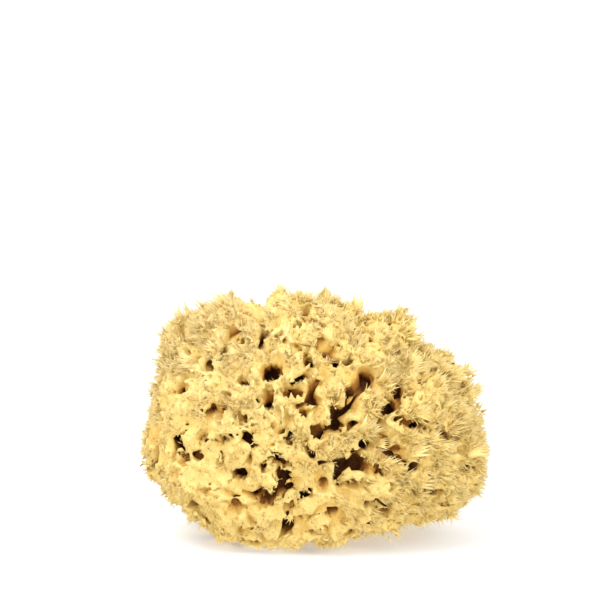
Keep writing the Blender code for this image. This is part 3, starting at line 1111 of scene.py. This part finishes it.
def mixed(graph, share, first, second):
    """A colour between two, which are colours or values, by a share from 0 to 1."""
    return graph.value("ShaderNodeMix", {"data_type": "RGBA"}, {0: share, 6: first, 7: second}, 2)


def noise(graph, place, length, detail, distortion=0.0):
    """Smooth noise from about 0 to 1, with patches of that length in metres."""
    return graph.value("ShaderNodeTexNoise", {"noise_dimensions": "3D"},
                       {"Vector": place, "Scale": 1 / length, "Detail": detail, "Roughness": 0.6,
                        "Distortion": distortion})


def stepped(graph, value, low, high):
    """How far a value is from low to high, smoothly from 0 to 1."""
    return graph.value("ShaderNodeMapRange", {"interpolation_type": "SMOOTHSTEP"},
                       {"Value": value, "From Min": low, "From Max": high})


def fibre_material():
    """Dry spongin with light and shade painted into its colour: cream at the tips as painted light, golden in
    the hollows and dark brown deep in the pores as painted shade. Noise makes its tone uneven.
    """
    material = bpy.data.materials.new("sponge_fibre")
    material.use_nodes = True
    graph = Graph(material.node_tree)
    surface = material.node_tree.nodes["Principled BSDF"]
    place = graph.value("ShaderNodeTexCoord", output="Object")
    depth = graph.value("ShaderNodeAttribute", {"attribute_name": "depth"}, output="Fac")
    tip = graph.value("ShaderNodeAttribute", {"attribute_name": "tip"}, output="Fac")
    patches = noise(graph, place, PATCHES, 2.0)
    mottle = noise(graph, place, MOTTLE, 4.0, MOTTLE_TWIST)
    grain = noise(graph, place, GRAIN, 3.0)
    # painted light and shade: the colour darkens with depth and pales towards the tips
    level = depth - tip * TIP_PAINTED_LIGHT + (mottle - 0.5) * MOTTLE_LEVEL + (patches - 0.5) * PATCHES_LEVEL
    pore_shade_level = depth + (mottle - 0.5) * DEEP_MOTTLE
    colour = mixed(graph, stepped(graph, level, *STRAW_LEVELS), CREAM, STRAW)
    colour = mixed(graph, stepped(graph, level, *GOLD_LEVELS), colour, GOLD)
    colour = mixed(graph, stepped(graph, level, *BROWN_SHADE_LEVELS), colour, BROWN)
    # painted shade deep in the pores
    colour = mixed(graph, stepped(graph, pore_shade_level, *PORE_SHADE_LEVELS), colour, PORE_SHADE_BROWN)
    # brown specks away from the tips: painted shade of pinholes
    colour = mixed(graph, stepped(graph, grain, *PINHOLE_SHADE_LEVELS) * PINHOLE_SHADE_SHARE * (1 - tip), colour, BROWN)
    material.node_tree.links.new(colour.socket, surface.inputs["Base Color"])
    height = mottle * BUMP_MOTTLE + grain * BUMP_GRAIN
    bump = graph.value("ShaderNodeBump", None,
                       {"Height": height, "Strength": BUMP_STRENGTH, "Distance": BUMP_HEIGHT})
    material.node_tree.links.new(bump.socket, surface.inputs["Normal"])
    surface.inputs["Roughness"].default_value = FIBRE_ROUGHNESS
    surface.inputs["Specular IOR Level"].default_value = FIBRE_SHINE
    return material


def make_stage():
    """A white floor in warm light from all round, with two lamps."""
    bpy.ops.mesh.primitive_plane_add(size=FLOOR_SIZE)
    floor = bpy.context.object
    floor.name = "floor"
    paper = bpy.data.materials.new("white_paper")
    paper.use_nodes = True
    sheet = paper.node_tree.nodes["Principled BSDF"]
    sheet.inputs["Base Color"].default_value = PAPER
    sheet.inputs["Roughness"].default_value = PAPER_ROUGHNESS
    sheet.inputs["Emission Color"].default_value = PAPER_GLOW
    sheet.inputs["Emission Strength"].default_value = PAPER_GLOW_STRENGTH
    floor.data.materials.append(paper)
    floor.visible_diffuse = False
    world = bpy.data.worlds.new("studio")
    bpy.context.scene.world = world
    world.use_nodes = True
    world.node_tree.nodes["Background"].inputs[0].default_value = ROOM_LIGHT
    world.node_tree.nodes["Background"].inputs[1].default_value = ROOM_STRENGTH
    for name, power, size, place in LAMPS:
        light = bpy.data.lights.new(name, "AREA")
        light.energy = power
        light.size = size
        lamp = bpy.data.objects.new(name, light)
        bpy.context.scene.collection.objects.link(lamp)
        lamp.location = place
        lamp.rotation_euler = (Vector(LAMP_AIM) - lamp.location).to_track_quat("-Z", "Y").to_euler()


def make_camera():
    """The camera looks down on the sponge as in the photograph."""
    data = bpy.data.cameras.new("camera")
    data.lens = LENS
    data.sensor_width = SENSOR
    camera = bpy.data.objects.new("camera", data)
    bpy.context.scene.collection.objects.link(camera)
    lift = math.radians(SEEN_FROM)
    ahead = Vector((0, math.cos(lift), -math.sin(lift)))
    camera.location = CAMERA_AIM - ahead * CAMERA_AWAY
    camera.rotation_euler = ahead.to_track_quat("-Z", "Y").to_euler()
    bpy.context.scene.camera = camera


def main():
    make_camera()
    make_stage()
    skin = make_skin()
    mark_skin(skin)
    fibre = fibre_material()
    tufts = make_tufts(skin, fibre)
    skin.data.materials.append(fibre)
    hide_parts("sponge")
    for piece in (skin, *tufts):
        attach(piece, "root")
    bpy.context.scene.view_settings.view_transform = "Standard"


main()
